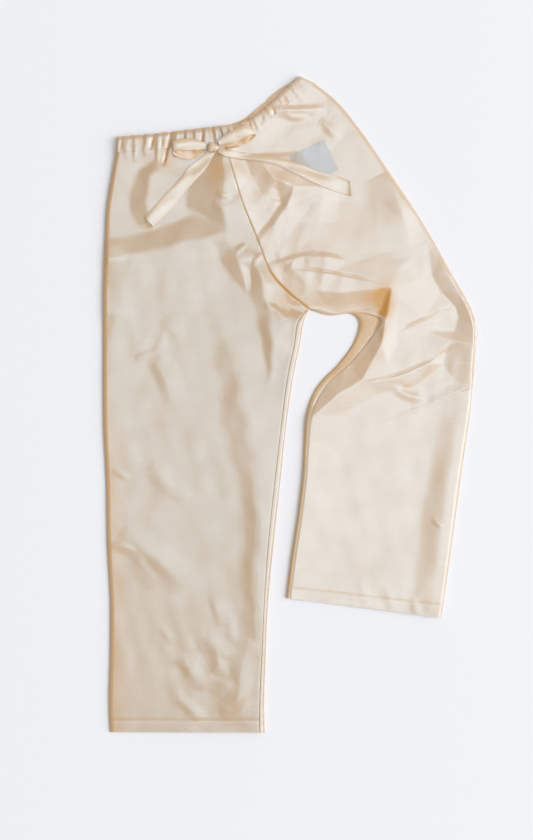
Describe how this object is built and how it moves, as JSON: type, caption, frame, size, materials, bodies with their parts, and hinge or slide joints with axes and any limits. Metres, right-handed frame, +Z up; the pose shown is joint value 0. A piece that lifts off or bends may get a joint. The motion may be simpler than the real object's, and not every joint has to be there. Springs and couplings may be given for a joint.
{
  "type": "drawstring pyjama trousers",
  "caption": "Straight-leg silk drawstring trousers laid flat front up, one knee bent, with a gathered waist tied in a bow.",
  "frame": {"origin": "on the floor under the middle of the garment's outline", "axes": "+Y from the hems to the waist, +X toward the wearer's left leg, +Z up from the floor"},
  "size_m": [0.6444, 1.1282, 0.0227],
  "materials": {
    "silk": "cream silk with a soft sheen",
    "tape": "flat ivory silk tape",
    "label": "plain grey woven label, blank"
  },
  "bodies": {
    "root": {"front_right_leg": "silk", "front_left_leg": "silk", "back_right_leg": "silk", "back_left_leg": "silk", "casing_front_right": "silk", "casing_front_left": "silk", "casing_back": "silk", "drawstring_knot": "tape", "bow_loop_right": "tape", "bow_loop_left": "tape", "drawstring_end_right": "tape", "drawstring_end_left": "tape", "size_label": "label"}
  },
  "joints": []
}
